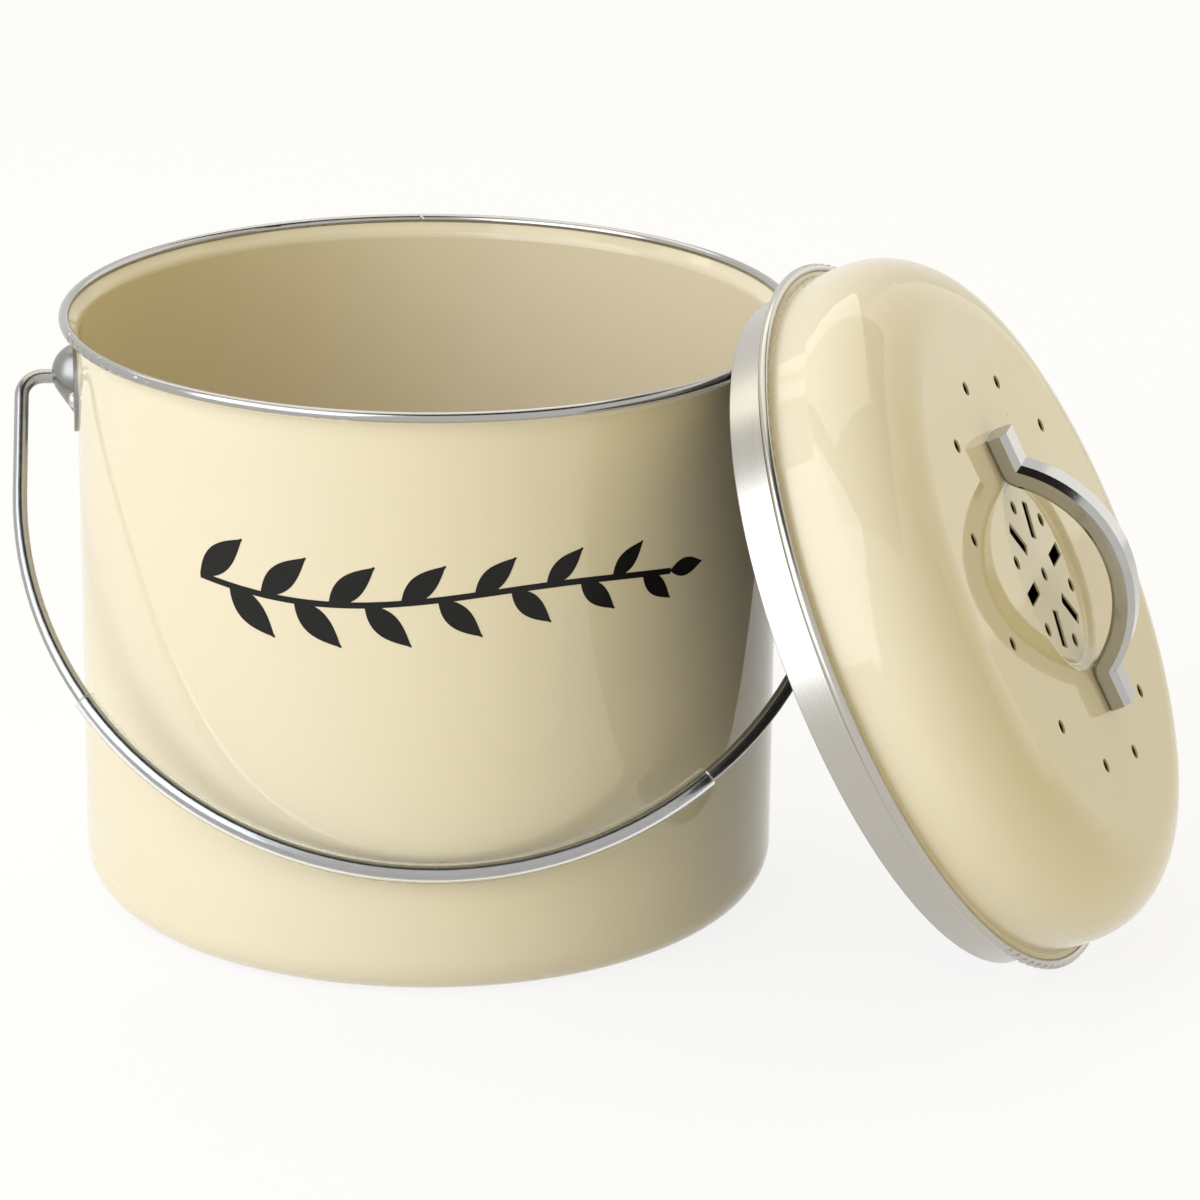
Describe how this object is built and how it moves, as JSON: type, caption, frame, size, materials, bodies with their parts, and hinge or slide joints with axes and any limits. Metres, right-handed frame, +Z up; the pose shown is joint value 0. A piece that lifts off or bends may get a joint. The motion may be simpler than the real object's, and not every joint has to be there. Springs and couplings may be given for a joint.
{
  "type": "compost bin",
  "caption": "Enamelled steel kitchen compost pail with a wire bail and clear tube grip, and a vented domed lid with a bar handle that leans against the rim.",
  "frame": {"origin": "centre of the pail's flat base, on its underside", "axes": "+X along the bail's pivot axis towards the right ear, +Z up out of the pail's mouth, the pail's front faces -Y"},
  "size_m": [0.3267, 0.2491, 0.188],
  "materials": {
    "cream_enamel": "glossy cream enamel",
    "polished_steel": "polished stainless steel",
    "brushed_steel": "fine brushed stainless steel",
    "bright_rivet": "bright steel",
    "clear_tube": "clear soft plastic tube",
    "zinc_fixing": "zinc plated steel",
    "charcoal_felt": "matt charcoal felt",
    "black_plastic": "matt black plastic"
  },
  "bodies": {
    "bin": {"bin_shell": "cream_enamel", "rim_trim": "polished_steel", "left_bail_ear": "brushed_steel", "right_bail_ear": "brushed_steel", "left_ear_front_rivet": "bright_rivet", "left_ear_rear_rivet": "bright_rivet", "right_ear_front_rivet": "bright_rivet", "right_ear_rear_rivet": "bright_rivet"},
    "bail": {"bail_wire": "polished_steel", "grip_sleeve": "clear_tube"},
    "lid": {"lid_dome": "cream_enamel", "lid_band": "brushed_steel", "lid_handle": "polished_steel", "upper_handle_screw": "zinc_fixing", "lower_handle_screw": "zinc_fixing", "upper_handle_washer": "zinc_fixing", "lower_handle_washer": "zinc_fixing", "charcoal_filter": "charcoal_felt", "filter_retainer": "black_plastic"}
  },
  "joints": [
    {"name": "lid_lift", "type": "slide", "parent": "bin", "child": "lid", "axis": [0.8457, -0.2928, 0.4462], "range_m": [0, 0.26]},
    {"name": "bail_swing", "type": "hinge", "parent": "bin", "child": "bail", "pos_m": [0, 0, 0.1474], "axis": [-1, 0, 0], "range_deg": [0, 274.15]}
  ],
  "couplings": [
    {"joint": "bail_swing", "follows": "lid_lift", "rad_per_m": 18.4}
  ]
}
